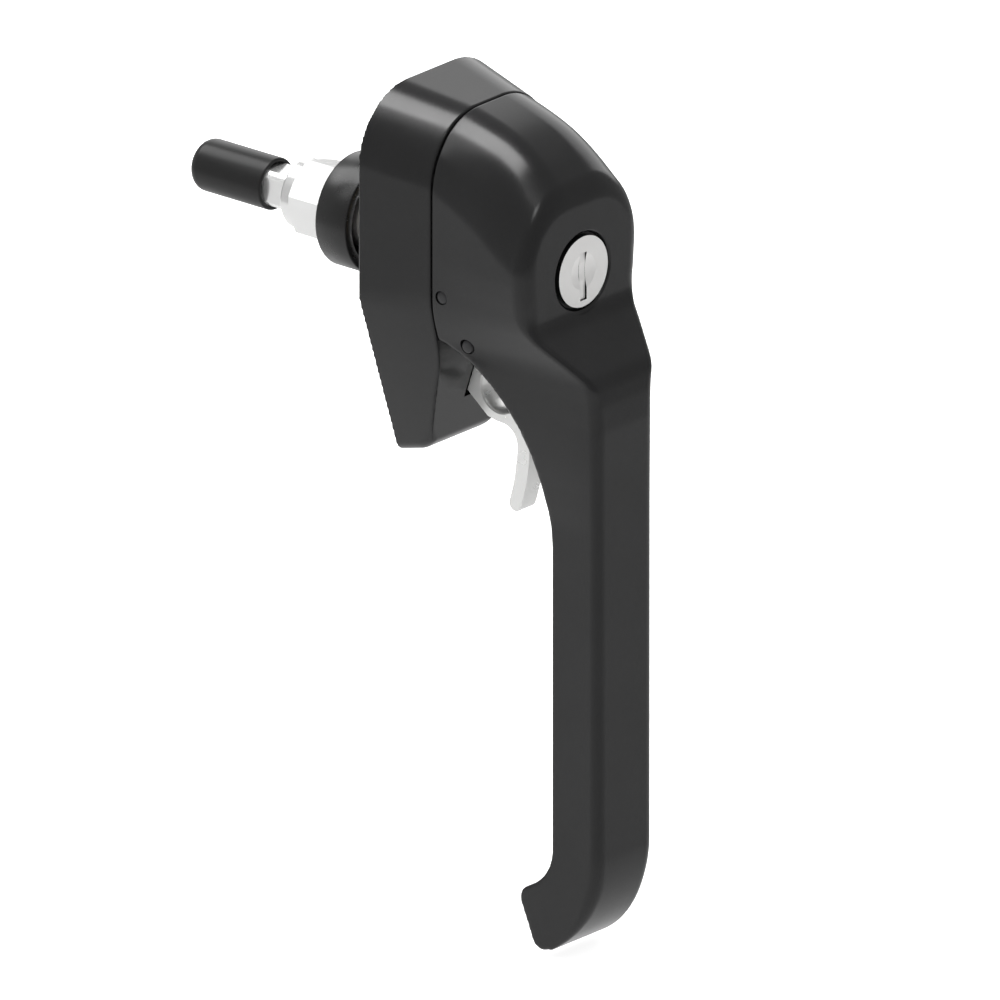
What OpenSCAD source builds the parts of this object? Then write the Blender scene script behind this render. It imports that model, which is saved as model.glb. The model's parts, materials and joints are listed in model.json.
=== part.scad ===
// L-handle lock for a cabinet or machine door.
// +Z up, the door's outward normal is -Y, +X is to the right seen from the front.
// Origin: spindle axis where it crosses the back face of the base. Millimetres.
// Most pieces are placed by their depth f in front of the door, so y = -f.

/* [Base housing] */
// Depth of the base in front of the door
base_d = 17; // [16:0.1:18]
// Half width of the base at the door
base_hw_back = 23.3; // [22.5:0.1:24]
// Half width of the base at the split with the handle
base_hw_front = 19.6; // [19:0.1:20]
// Height of the base's flat top at the door
base_top_back = 36.9; // [36:0.1:38]
// Height of the base's flat top at the split
base_top_front = 33.7; // [33:0.1:34.5]
// Corner radius of the top at the door
base_r_back = 16.1; // [15:0.1:17]
// Corner radius of the top at the split
base_r_front = 13.6; // [13:0.1:14.5]
// Lowest point of the base at the door, below the spindle
base_low = 47.1; // [46:0.1:48]
// Wall thickness of the base casting
base_wall = 2.8; // [2.4:0.1:3.2]
// Height where the front face starts to slope back, below the spindle
slope_z = 21.5; // [21:0.1:22]
// Angle of the sloping lower face from the vertical
slope_deg = 18.3; // [17.5:0.1:19]

/* [Fixing holes] */
// Radius of the tapped fixing holes, M5 core
fix_r = 2.1; // [2:0.05:2.2]
// Height of the upper fixing hole above the spindle
fix_up = 24; // [23:0.5:25]
// Distance between the two fixing holes
fix_pitch = 60; // [59:0.5:61]
// Depth of the fixing holes
fix_depth = 7.5; // [6.5:0.5:7.5]

/* [Spindle] */
// Across flats of the square spindle
sq = 8; // [7.9:0.05:8]
// Diameter over the rounded corners of the spindle
sq_over = 9.8; // [9.6:0.1:10]
// Depth of the spindle's front end
spindle_front = 23.3; // [23:0.1:23.4]
// How far the spindle reaches behind the door face
spindle_back = 61.2; // [60:0.1:61.3]
// Radius of the bearing bore in the base
bush_r = 7; // [6.8:0.1:7.2]
// Radial running clearance of the bush
run_gap = 0.04; // [0.03:0.01:0.06]

/* [Handle] */
// Gap between the base and the handle head
split_gap = 0.3; // [0.25:0.05:0.4]
// Depth of the flat pad around the lock
pad_f = 43.5; // [43:0.1:44]
// Half width of the grip
grip_hw = 8.92; // [8.5:0.02:9.2]
// Depth of the grip's rear face
grip_f0 = 42.6; // [42:0.1:43]
// Depth of the grip's front face
grip_f1 = 55.6; // [55:0.1:56.2]
// Edge radius of the grip
grip_r = 2; // [1.6:0.1:2.4]
// Height where the grip starts to curve into its hooked end, below the spindle
hook_z = 129; // [126:0.5:130]
// Outer radius of the hooked end
hook_ro = 27.3; // [26.5:0.1:28]
// Inner radius of the hooked end
hook_ri = 10.8; // [10:0.1:11.5]
// Sweep of the hooked end
hook_deg = 60; // [56:1:62]

/* [Trigger] */
// Depth of the trigger pivot
piv_f = 24.8; // [24.7:0.05:24.9]
// Height of the trigger pivot
piv_z = -16; // [-16.1:0.05:-15.9]
// Thickness of the trigger lever
trig_t = 5; // [4.6:0.1:5]
// Radius of the hole in the trigger's ring
ring_r = 5.2; // [5.2:0.05:5.3]
// Depth of the ring's centre
ring_f = 21.9; // [21.8:0.1:22]
// Height of the ring's centre
ring_z = -30.7; // [-30.9:0.1:-30.5]
// Half width of the nose slot in the base
slot_hw = 3.6; // [3.4:0.1:3.8]
// How far the nose dips below the sloping face when the lever is at rest
nose_dip = 0.4; // [0.3:0.05:0.5]

/* [Lock] */
// Height of the lock axis above the spindle axis
lock_z = 1.2; // [1:0.1:1.4]
// Radius of the plug's visible face
face_r = 8.03; // [7.8:0.01:8.1]
// Radius of the hole in the pad
pad_hole_r = 8.6; // [8.55:0.05:8.7]
// Radius of the plug's barrel
plug_r = 7; // [6.9:0.05:7]
// Width of the keyway
key_w = 2.1; // [1.9:0.05:2.2]
// Lift of the lock bolt at the cam's pin for a quarter turn of the plug
bolt_travel = 2.2; // [2.1:0.05:2.3]
// Radius of the round recess in the base that the bolt runs in
pocket_r = 12.5; // [12.4:0.1:12.8]

/* [Door side] */
// Radius of the collar behind the door
collar_r = 12.75; // [12.5:0.05:13]
// Distance from the base's back face to the collar, for the door
door_gap = 12.9; // [12.5:0.1:13.2]
// Thickness of the collar
collar_t = 8.7; // [8.4:0.1:9]
// Thickness of the washer
washer_t = 2; // [1.8:0.1:2.2]
// Across flats of the locknut
nut_af = 16; // [15.7:0.1:16]
// Radius of the end cap
cap_r = 5.83; // [5.7:0.01:5.9]
// Start of the end cap behind the door face
cap_y0 = 44.7; // [44:0.1:45]
// End of the end cap behind the door face
cap_y1 = 63.8; // [63.5:0.1:64.5]

/* [Hidden] */
$fn = 64;
e = 0.01;
head_f = base_d + split_gap;
slope_k = tan(slope_deg);
front_wall = base_d - 5.5;
nut_y0 = door_gap + collar_t + washer_t;
nut_y1 = nut_y0 + 12.4;
cavity_f = 30.7;
bolt_f0 = 23.8;
bolt_f1 = 26.2;
cam_e = bolt_travel / sqrt(2);
bolt_px = -9.5;
det_r = 15.6;
function slope_f(z) = base_d - slope_k * (-z - slope_z);
function arc(cx, cz, r, a0, a1, n) = [for (i = [0:n]) let (a = a0 + (a1 - a0) * i / n) [cx + r * cos(a), cz + r * sin(a)]];

// ---- helpers ----

// a round bar along the spindle direction between two depths
module bar(f0, f1, r, x = 0, z = 0) {
    translate([x, -f0, z]) rotate([90, 0, 0]) cylinder(h = f1 - f0, r = r);
}
// an outline in the door's plane, thickened between two depths
module slab(f0, f1) {
    translate([0, -f0, 0]) rotate([90, 0, 0]) linear_extrude(f1 - f0) children();
}
// a side outline of (depth, height) points, thickened across the handle
module side(w) {
    rotate([90, 0, -90]) linear_extrude(w, center = true) children();
}
// a round bar across the handle
module cross(x0, x1, r, f, z) {
    translate([x0, -f, z]) rotate([0, 90, 0]) cylinder(h = x1 - x0, r = r);
}
// a box given by its sides, depths and heights
module box(x0, x1, f0, f1, z0, z1) {
    translate([x0, -f1, z0]) cube([x1 - x0, f1 - f0, z1 - z0]);
}

// ---- base ----

// outline with a flat top, large upper corners and straight sides down to zk
module shield(hw, top, r, zk, hw_low, zlow, rc = 1.5) {
    polygon(concat(
        arc(hw - r, top - r, r, 0, 90, 14),
        arc(-(hw - r), top - r, r, 90, 180, 14),
        [[-hw, zk]],
        arc(-(hw_low - rc), zlow + rc, rc, 190, 270, 4),
        arc(hw_low - rc, zlow + rc, rc, 270, 350, 4),
        [[hw, zk]]));
}
module base_outer() {
    hull() {
        slab(0, 0.6) shield(base_hw_back, base_top_back, base_r_back, -8.6, 10.6, -base_low);
        slab(base_d - 0.2, base_d) shield(base_hw_front, base_top_front, base_r_front, -7.5, 16.4, -slope_z, 0.4);
        slab(slope_f(-43.9) - 0.2, slope_f(-43.9)) shield(10.8, -40, 2, -42.2, 9.9, -43.9, 1.2);
        slab(5.6, 6) shield(10.7, -40, 2, -42.2, 10, -45.6, 1.4);
    }
}
module base_inner() {
    difference() {
        union() {
            hull() {
                slab(-1, 0) shield(base_hw_back - base_wall, base_top_back - base_wall, base_r_back - base_wall, -8.6, 15.5, -24);
                slab(8.2, 8.3) shield(base_hw_back - base_wall - 1.8, base_top_back - base_wall - 1.5, base_r_back - base_wall, -8.6, 14, -24);
            }
            hull() {
                slab(-1, 0) shield(15.5, -22, 4, -24, 8.2, -base_low + base_wall);
                slab(5.2, 5.3) shield(14, -22, 4, -24, 7.6, -base_low + base_wall + 1.4);
            }
        }
        bar(-2, 9, 10.5);
        bar(-2, 9, 5.2, 0, fix_up);
        bar(-2, 9, 5.2, 0, fix_up - fix_pitch);
        box(-1, 1, 1.5, 9, -40, 40);
        box(-30, 30, 1.5, 9, -1, 1);
    }
}
module base_housing() color("#2a2a2b") {
    difference() {
        base_outer();
        base_inner();
        // bearing bore and bolt recess
        bar(-1, base_d + 1, bush_r);
        bar(-1, 2.8, 9.2);
        bar(front_wall, base_d + 1, pocket_r);
        // locking notches at the closed and the open position
        box(-3.4, 3.4, front_wall, base_d + 1, 0, 14.3);
        box(-14.3, 0, front_wall, base_d + 1, -3.4, 3.4);
        // tapped fixing holes
        bar(-1, fix_depth, fix_r, 0, fix_up);
        bar(-1, fix_depth, fix_r, 0, fix_up - fix_pitch);
        // slot for the trigger's nose
        box(-slot_hw, slot_hw, 9.6, base_d + 1, -34.1, -24.6);
        // shallow track that clears the nose while the handle turns
        rotate([90, 0, 0]) rotate([0, 0, -85]) rotate_extrude(angle = 45)
            polygon([[24.6, base_d - 0.7], [25.6, slope_f(-25.6) - nose_dip - 0.35], [33.4, slope_f(-33.4) - nose_dip - 0.35], [34.6, slope_f(-33.4) - nose_dip - 0.35], [34.6, base_d + 1], [24.6, base_d + 1]]);
        // track of the detent ball, with a dimple at each end
        rotate([90, 0, 0]) rotate([0, 0, -1]) rotate_extrude(angle = 92) translate([det_r, base_d + 0.9]) circle(r = 1.7);
        translate([det_r, -(base_d + 0.7), 0]) sphere(r = 1.75);
        translate([0, -(base_d + 0.7), det_r]) sphere(r = 1.75);
    }
}

module spindle_bush() color("#b08d4a") {
    difference() {
        union() {
            bar(0.9, front_wall + 0.2, bush_r - run_gap);
            bar(front_wall + 0.1, front_wall + 1.7, 8.1);
        }
        translate([-sq / 2 - 0.03, -front_wall - 3, -sq / 2 - 0.03]) cube([sq + 0.06, 20, sq + 0.06]);
        difference() {
            bar(1.5, 2.5, 9);
            bar(1, 3, 6.3);
        }
    }
}
module bush_circlip() color("#7d7f82") {
    difference() {
        bar(1.55, 2.45, 8.6);
        bar(1, 3, 6.33);
        box(-2.2, 2.2, 1, 3, -10, 0);
    }
}

// ---- handle ----

// outline of the head at one depth
module head_ring(f, hw, top, r, low, hw_low) {
    slab(f, f + 0.1) shield(hw, top, r, -7.4, hw_low, low, 2.2);
}
module head_outer() {
    hull() {
        head_ring(head_f, 19.5, 33.6, 13.6, -16.6, 16.8);
        head_ring(23.7, 18.9, 32, 13.4, -17, 16.2);
        head_ring(30.1, 18.4, 29.3, 13.4, -17, 15.4);
        head_ring(36.6, 17.9, 25, 14, -15, 15);
        head_ring(40.6, 17.5, 21.4, 14.4, -12, 15.6);
        head_ring(pad_f - 0.1, 14.8, 17.2, 12.8, -8.2, 14.8);
    }
}
// side outline of the neck and grip: (depth, height) from the head's underside round the hook
module neck_side() {
    polygon(concat(
        [[head_f, -3], [head_f, -16.4], [22.3, -16.9], [24.5, -18.3], [26.6, -20.15], [29.7, -23.5], [32.4, -27], [34.9, -30.8], [37, -34.85],
         [39, -39.8], [40.65, -45], [41.8, -49.5], [42.4, -53.6], [grip_f0, -57.5]],
        arc(grip_f0 - hook_ri, -hook_z, hook_ri, 0, -hook_deg, 10),
        arc(34.04, -142.48, 2, 120, 210, 5),
        arc(39.79, -150.4, 3, 210, 300, 5),
        arc(grip_f1 - hook_ro, -hook_z, hook_ro, -hook_deg, 0, 14),
        [[grip_f1, -31], [55.3, -27], [54.2, -22.5], [51.6, -18.1], [45.4, -11.2], [pad_f, -7.7], [pad_f - 0.1, -3]]));
}
// front outline of the neck and grip
module neck_front() {
    polygon([[-17.5, 8], [-17.5, -7.4], [-17.3, -12], [-17, -16.5], [-16.1, -20.5], [-14.3, -27], [-12.4, -34.9], [-10.3, -45],
        [-9.2, -53], [-grip_hw, -58], [-grip_hw, -160], [grip_hw, -160], [grip_hw, -58], [9.2, -53], [10.3, -45], [12.4, -34.9],
        [14.3, -27], [16.1, -20.5], [17, -16.5], [17.3, -12], [17.5, -7.4], [17.5, 8]]);
}
// cross section that rounds the grip's four edges
module grip_section(hw, f0, f1, r) {
    translate([-hw + r, -f1]) square([2 * hw - 2 * r, f1 - f0]);
    translate([-hw, -f1 + r]) square([2 * hw, f1 - f0 - 2 * r]);
    for (sx = [-1, 1], y = [-f1 + r, -f0 - r]) translate([sx * (hw - r), y]) circle(r = r);
}
// cross section of the head's lower part and the neck: straight sides that close in towards the front
module neck_section() {
    polygon([[-19.4, -15], [-18.2, -34], [-17.2, -40.6], [-14.8, -pad_f], [-13.6, -45.4], [-11, -51.6], [-9.3, -54.3], [-7.4, -grip_f1],
        [7.4, -grip_f1], [9.3, -54.3], [11, -51.6], [13.6, -45.4], [14.8, -pad_f], [17.2, -40.6], [18.2, -34], [19.4, -15]]);
}
module handle_body() {
    head_outer();
    intersection() {
        side(60) neck_side();
        slab(0, 60) neck_front();
        union() {
            translate([0, 0, -56]) linear_extrude(100) neck_section();
            translate([0, 0, -160]) linear_extrude(104 + e) grip_section(grip_hw, 25, grip_f1, grip_r);
        }
    }
}
module handle_casting() color("#2a2a2b") {
    difference() {
        handle_body();
        difference() {
            union() {
                hull() {
                    slab(head_f - 1, head_f) shield(16.9, 31, 11, -7.4, 15.2, -14.2);
                    slab(cavity_f - 0.1, cavity_f) shield(14.8, 25.6, 11, -7.4, 13.2, -14.2);
                }
                // trigger slot under the head and in the back of the neck
                side(6.6) polygon([[head_f - 2, -8], [cavity_f, -8], [31.6, -17], [34.2, -22.5], [37.3, -29], [38.6, -35], [39, -41.5], [30, -41.5], [head_f - 2, -20]]);
            }
            // bridge with the spindle socket
            box(-30, 30, head_f, bolt_f0 - 0.3, -8, 7.4);
            // bosses for the trigger pivot
            cross(-20, -trig_t / 2 - 0.25, 3.4, piv_f, piv_z);
            cross(6.1, 20, 3.4, piv_f, piv_z);
            // boss for the detent
            bar(head_f, 26, 2.9, det_r - 0.4, 0);
            // stud that the lock bolt swings on
            bar(bolt_f0 - 0.4, bolt_f1 - 0.1, 1.2, bolt_px, lock_z);
        }
        // spindle socket
        translate([-sq / 2 - 0.03, -spindle_front - 0.1, -sq / 2 - 0.03]) cube([sq + 0.06, 20, sq + 0.06]);
        // room for the trigger's spring beside the lever
        box(2.4, 6.05, 21.9, 33.4, -24.4, -9.4);
        // cross pins
        cross(-30, 30, 1.75, 19.9, -5.2);
        cross(-30, 30, 1.75, piv_f, piv_z);
        // detent pocket
        bar(head_f - 1, 24.2, 1.55, det_r, 0);
        // lock bore
        bar(cavity_f - 1, pad_f + 1, pad_hole_r, 0, lock_z);
        // room for the clip and the cam behind the lock
        bar(bolt_f1 + 0.2, cavity_f, 10.6, 0, lock_z);
    }
}
module spindle() color("#cfd0d2") {
    difference() {
        intersection() {
            translate([-sq / 2, -spindle_front, -sq / 2]) cube([sq, spindle_front + spindle_back, sq]);
            bar(-spindle_back, spindle_front, sq_over / 2);
        }
        cross(-10, 10, 1.78, 19.9, -5.2);
    }
}
// a cross pin whose ends are turned down a little
module cross_pin(x, f, z) {
    cross(-x + 1.2, x - 1.2, 1.72, f, z);
    cross(-x, x, 1.46, f, z);
}
module spindle_pin() color("#3a3a3c") cross_pin(19.05, 19.9, -5.2);
module detent_ball() color("#d8d9db") translate([det_r, -(base_d + 0.9), 0]) sphere(r = 1.45);
module detent_spring() color("#9a9ca0") {
    for (i = [0:4]) translate([det_r, -(base_d + 2.78 + i * 0.76), 0]) rotate([90, 0, 0])
        rotate_extrude() translate([1.05, 0]) circle(r = 0.4, $fn = 20);
}

// ---- trigger ----

// side outline of the lever: nose, ring, tail and hub
module trigger_side() {
    difference() {
        union() {
            translate([piv_f, piv_z]) circle(r = 4);
            translate([ring_f, ring_z]) circle(r = 7.35);
            polygon([[20.9, -14.8], [20.8, -17.5], [18.6, -22.6], [17.7, -25.8], [slope_f(-26.2) - nose_dip, -26.2], [slope_f(-32.7) - nose_dip, -32.7],
                [18.7, -37.35], [21.5, -37.9], [23.4, -38], [24.7, -38.4], [26.1, -39.5], [26.9, -41], [27.1, -42.7], [26.8, -45.3],
                [26.2, -50.2], [25, -54.5], [24.7, -55.8], [25, -56.7], [25.95, -57.35], [27, -57.3], [27.8, -56.8],
                [29.2, -52], [30, -48], [30.5, -43.6], [30.6, -38], [30.4, -28], [29.8, -21.5], [28.7, -15.2]]);
        }
        translate([ring_f, ring_z]) circle(r = ring_r);
        translate([piv_f, piv_z]) circle(r = 1.78);
    }
}
module trigger_lever() color("#dfe0e1") side(trig_t) trigger_side();
module trigger_pivot_pin() color("#3a3a3c") cross_pin(16.7, piv_f, piv_z);
module trigger_spring() color("#9a9ca0") {
    leg_x = 3.3 + 3 * 0.76;
    for (i = [0:3]) translate([3.3 + i * 0.76, -piv_f, piv_z]) rotate([0, 90, 0])
        rotate_extrude() translate([2.3, 0]) circle(r = 0.4, $fn = 20);
    // leg on the head's inner face
    translate([3.3, -piv_f - 2.3, piv_z]) cylinder(h = 6.2, r = 0.38, $fn = 20);
    // leg across the lever's front edge
    translate([leg_x, -piv_f - 2.3, piv_z]) rotate([-25.6, 0, 0]) translate([0, 0, -8.1]) cylinder(h = 8.1, r = 0.38, $fn = 20);
    cross(-2, leg_x + 0.2, 0.38, piv_f + 5.8, piv_z - 7.3);
}

// ---- lock ----

module lock_body() color("#3c3c3e") {
    difference() {
        bar(28.6, 42.3, pad_hole_r - 0.1, 0, lock_z);
        bar(28, 43, plug_r + 0.05, 0, lock_z);
        difference() {
            bar(29.4, 30.5, 10, 0, lock_z);
            bar(29, 31, 7.8, 0, lock_z);
        }
    }
}
module lock_clip() color("#8b8d90") {
    difference() {
        bar(29.45, 30.45, 10.3, 0, lock_z);
        bar(29, 31, 7.83, 0, lock_z);
        box(-3, 3, 29, 31, lock_z - 12, lock_z);
    }
}
// the slots that cross the barrel for the wafers
module wafer_slots(gap) {
    for (i = [0:4]) {
        box(-2.6 - gap, 2.6 + gap, 31.5 + i * 2 - gap, 32.5 + i * 2 + gap, lock_z - 6.2 - gap, lock_z + 6.2 + gap);
        box(2.6, 3.7 + gap, 31.5 + i * 2 - gap, 32.5 + i * 2 + gap, lock_z - 3.2 - gap, lock_z + 1 + gap);
    }
}
module key_plug() color("#d3d3d1") {
    difference() {
        union() {
            bar(42.45, pad_f + 0.1, face_r, 0, lock_z);
            bar(28.5, 42.5, plug_r, 0, lock_z);
        }
        // keyway
        box(-key_w / 2, key_w / 2, 30.2, pad_f + 1, lock_z - 6.6, lock_z + 4.3);
        wafer_slots(0.08);
        // shallow round dimple
        translate([0, -(pad_f + 0.1 + 13.4), lock_z]) sphere(r = 14, $fn = 96);
        // square seat and thread of the cam's screw
        bar(28, 34, 1.25, 0, lock_z);
    }
}
module keyway_shutter() color("#c8c8c6") difference() {
    union() {
        box(-0.75, 0.98, 42.75, 43.15, lock_z - 6.5, lock_z + 4.2);
        // round edge that the shutter turns on
        translate([-0.75, -42.95, lock_z - 6.5]) cylinder(h = 10.7, r = 0.2);
    }
    translate([0, -(pad_f + 0.1 + 13.4), lock_z]) sphere(r = 14, $fn = 96);
}
module lock_wafers() color("#c9a75b") {
    for (i = [0:4]) let (f = 31.5 + i * 2, s = [0.5, -0.3, 0.2, -0.5, 0.3][i]) difference() {
        union() {
            box(-2.6, 2.6, f, f + 1, lock_z - 6.2, lock_z + 6.2);
            box(2.55, 3.7, f, f + 1, lock_z, lock_z + 0.9);
        }
        box(-1.3, 1.3, f - 1, f + 2, lock_z - 4 + s, lock_z + 4 + s);
    }
}
module wafer_springs() color("#9a9ca0") {
    for (i = [0:4]) translate([3.2, -(32 + i * 2), lock_z - 3.1]) cylinder(h = 3, r = 0.42, $fn = 24);
}
module plug_cam() color("#a9aaac") {
    difference() {
        union() {
            bar(26.6, 28.4, 5.4, 0, lock_z);
            bar(24, 26.7, 1, -cam_e / sqrt(2), lock_z - cam_e / sqrt(2));
        }
        bar(26.5, 27.5, 2.5, 0, lock_z);
        bar(26, 29, 1.6, 0, lock_z);
    }
}
module cam_screw() color("#6f7174") {
    difference() {
        union() {
            bar(26.65, 27.45, 2.4, 0, lock_z);
            bar(27.4, 33, 1.22, 0, lock_z);
        }
        box(-2.6, 2.6, 26.5, 26.95, lock_z - 0.35, lock_z + 0.35);
    }
}
module lock_bolt() color("#b9babc") {
    difference() {
        union() {
            slab(bolt_f0, bolt_f1) polygon([[bolt_px, -1.1], [-3.6, -2.7], [1.6, -2.7], [2.6, -1.5], [2.6, 11.2], [-0.1, 11.2], [-1.2, 3.9], [bolt_px, 3.5]]);
            bar(bolt_f0, bolt_f1, 2.3, bolt_px, lock_z);
            // tongue that reaches into the base
            box(-0.1, 2.6, front_wall + 0.8, bolt_f1, 8.7, 11.2);
        }
        bar(bolt_f0 - 1, bolt_f1 + 1, 1.35, bolt_px, lock_z);
        // slot for the cam's pin
        box(-2.95, 0.25, bolt_f0 - 1, bolt_f1 + 1, -1.04, 1.33);
    }
}

// ---- behind the door ----

module door_collar() color("#1d1d1f") {
    y0 = door_gap;
    y1 = door_gap + collar_t;
    difference() {
        bar(-y1, -y0, collar_r);
        bar(-(y1 - 2.6), -(y0 - 1), 10.4);
        bar(-(y1 + 1), -(y0 - 1), 5.05);
    }
}
module collar_sleeve() color("#8c8780") difference() {
    bar(-(door_gap + collar_t - 2.65), -(door_gap + 1.2), 7.6);
    bar(-40, 0, 5.05);
}
module washer() color("#d9dadc") difference() {
    bar(-(nut_y0 - 0.02), -(door_gap + collar_t + 0.02), 9.4);
    bar(-60, 0, 5.2);
}
module nyloc_nut() color("#e3e4e6") difference() {
    union() {
        intersection() {
            rotate([0, 15, 0]) translate([0, nut_y0, 0]) rotate([-90, 0, 0]) cylinder(h = 9.4, r = nut_af / 2 / cos(30), $fn = 6);
            // 30 degree chamfers at both ends
            translate([0, nut_y0, 0]) rotate([-90, 0, 0]) rotate_extrude()
                polygon([[0, 0], [nut_af / 2, 0], [nut_af / 2 + 1.6, 0.93], [nut_af / 2 + 1.6, 8.47], [nut_af / 2, 9.4], [0, 9.4]]);
        }
        bar(-nut_y1, -(nut_y0 + 9), 7.75);
    }
    bar(-60, 0, 4.95);
    bar(-(nut_y1 - 0.7), -(nut_y1 - 3), 6.9);
}
module nut_insert() color("#4a6fa5") difference() {
    bar(-(nut_y1 - 0.75), -(nut_y1 - 2.95), 6.85);
    bar(-60, 0, 4.92);
}
module end_cap() color("#161617") {
    difference() {
        translate([0, cap_y0, 0]) rotate([-90, 0, 0]) rotate_extrude()
            polygon(concat([[0, 0], [cap_r - 0.4, 0], [cap_r, 0.4]],
                arc(cap_r - 2.6, cap_y1 - cap_y0 - 2.6, 2.6, 0, 90, 10), [[0, cap_y1 - cap_y0]]));
        translate([0, cap_y0 - 1, 0]) rotate([-90, 0, 0]) cylinder(h = spindle_back - cap_y0 + 1.3, r = sq_over / 2 + 0.02);
    }
}

base_housing();
spindle_bush();
bush_circlip();
handle_casting();
spindle();
spindle_pin();
detent_ball();
detent_spring();
trigger_lever();
trigger_pivot_pin();
trigger_spring();
lock_body();
lock_clip();
key_plug();
keyway_shutter();
lock_wafers();
wafer_springs();
plug_cam();
cam_screw();
lock_bolt();
door_collar();
collar_sleeve();
washer();
nyloc_nut();
nut_insert();
end_cap();
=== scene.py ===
import json
import math

import bmesh
import bpy
import numpy as np
from mathutils import Matrix, Vector

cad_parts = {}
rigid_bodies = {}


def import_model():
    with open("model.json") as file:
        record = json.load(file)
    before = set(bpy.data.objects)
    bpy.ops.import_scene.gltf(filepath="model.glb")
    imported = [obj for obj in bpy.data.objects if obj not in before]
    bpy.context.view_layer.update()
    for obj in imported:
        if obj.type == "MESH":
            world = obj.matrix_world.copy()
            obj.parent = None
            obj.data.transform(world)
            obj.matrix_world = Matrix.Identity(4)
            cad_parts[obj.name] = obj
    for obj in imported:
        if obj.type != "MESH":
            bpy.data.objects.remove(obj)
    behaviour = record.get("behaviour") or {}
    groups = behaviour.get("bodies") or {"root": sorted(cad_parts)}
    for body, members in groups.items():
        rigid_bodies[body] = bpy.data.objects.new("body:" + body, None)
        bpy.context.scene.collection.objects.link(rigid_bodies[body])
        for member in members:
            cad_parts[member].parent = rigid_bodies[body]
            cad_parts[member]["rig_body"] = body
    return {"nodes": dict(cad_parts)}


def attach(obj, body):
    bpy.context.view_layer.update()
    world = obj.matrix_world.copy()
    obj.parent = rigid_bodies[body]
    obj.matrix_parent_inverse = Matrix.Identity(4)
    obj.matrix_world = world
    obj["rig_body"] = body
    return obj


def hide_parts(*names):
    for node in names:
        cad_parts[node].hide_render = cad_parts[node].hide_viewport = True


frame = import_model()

scene = bpy.context.scene
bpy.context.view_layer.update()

# ------------------------------------------------------------------ camera
AZ, EL = math.radians(-49.4), math.radians(20.6)
RIGHT = Vector((math.cos(AZ), math.sin(AZ), 0))
BACK = Vector((math.sin(AZ) * math.cos(EL), -math.cos(AZ) * math.cos(EL), math.sin(EL)))
UP = BACK.cross(RIGHT)
cam_data = bpy.data.cameras.new("camera")
cam_data.type = "ORTHO"
cam_data.ortho_scale = 0.215
cam_data.clip_start, cam_data.clip_end = 0.01, 20
camera = bpy.data.objects.new("camera", cam_data)
scene.collection.objects.link(camera)
centre = RIGHT * 0.01516 - UP * 0.0580
m = Matrix((RIGHT, UP, BACK)).transposed().to_4x4()
m.translation = centre + BACK * 0.7
camera.matrix_world = m
scene.camera = camera


# ------------------------------------------------------------------ numeric helpers (millimetres: x across, f depth in front of the door, z up)
def curve(points, sigma, lo, hi, step=0.05):
    """A smooth function through a few measured points."""
    xs, ys = zip(*sorted(points))
    pad = 5 * sigma
    t = np.arange(lo - pad, hi + pad + step, step)
    v = np.interp(t, xs, ys)
    k = np.exp(-0.5 * (np.arange(-4 * sigma, 4 * sigma + step, step) / sigma) ** 2)
    v = np.convolve(v, k / k.sum(), "same")
    keep = (t >= lo) & (t <= hi)
    t, v = t[keep], v[keep]
    return lambda q: np.interp(q, t, v)


def arc(cx, cy, r, a0, a1, n):
    a = np.radians(np.linspace(a0, a1, n + 1))
    return [(cx + r * math.cos(t), cy + r * math.sin(t)) for t in a]


def smooth_line(points, sigma, step=0.25):
    """An open line resampled evenly, with its corners softened."""
    p = np.array(points, float)
    s = np.concatenate([[0], np.cumsum(np.hypot(*np.diff(p, axis=0).T))])
    t = np.arange(0, s[-1], step)
    out = np.stack([np.interp(t, s, p[:, i]) for i in (0, 1)], 1)
    n = int(4 * sigma / step)
    k = np.exp(-0.5 * (np.arange(-n, n + 1) * step / sigma) ** 2)
    k /= k.sum()
    d0, d1 = out[0] - out[1], out[-1] - out[-2]
    head = out[0] + d0 * np.arange(n, 0, -1)[:, None]
    tail = out[-1] + d1 * np.arange(1, n + 1)[:, None]
    long = np.concatenate([head, out, tail])
    return np.stack([np.convolve(long[:, i], k, "valid") for i in (0, 1)], 1)


class Outline:
    """Signed distance to a closed outline in the plane, kept in a table."""

    def __init__(self, points, x0, x1, y0, y1, h):
        self.x0, self.y0, self.h = x0, y0, h
        xs, ys = np.arange(x0, x1 + h, h), np.arange(y0, y1 + h, h)
        X, Y = np.meshgrid(xs, ys, indexing="ij")
        d, inside = np.full(X.shape, 1e9), np.zeros(X.shape, bool)
        p = np.array(points, float)
        for a, b in zip(p, np.roll(p, -1, 0)):
            e = b - a
            ee = float(e @ e)
            if ee < 1e-12:
                continue
            wx, wy = X - a[0], Y - a[1]
            t = np.clip((wx * e[0] + wy * e[1]) / ee, 0, 1)
            d = np.minimum(d, (wx - t * e[0]) ** 2 + (wy - t * e[1]) ** 2)
            if a[1] != b[1]:
                c = (a[1] > Y) != (b[1] > Y)
                inside ^= c & (X < (b[0] - a[0]) * (Y - a[1]) / (b[1] - a[1]) + a[0])
        self.t = np.sqrt(d)
        self.t[inside] *= -1

    def __call__(self, x, y):
        u = np.clip((x - self.x0) / self.h, 1, self.t.shape[0] - 3.001)
        v = np.clip((y - self.y0) / self.h, 1, self.t.shape[1] - 3.001)
        i, j = u.astype(int), v.astype(int)
        u, v = u - i, v - j

        def weights(q):
            return (
                ((-0.5 * q + 1) * q - 0.5) * q,
                (1.5 * q - 2.5) * q * q + 1,
                ((-1.5 * q + 2) * q + 0.5) * q,
                (0.5 * q - 0.5) * q * q,
            )

        wu, wv = weights(u), weights(v)
        return sum(
            wu[a] * sum(wv[b] * self.t[i + a - 1, j + b - 1] for b in range(4))
            for a in range(4)
        )


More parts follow.
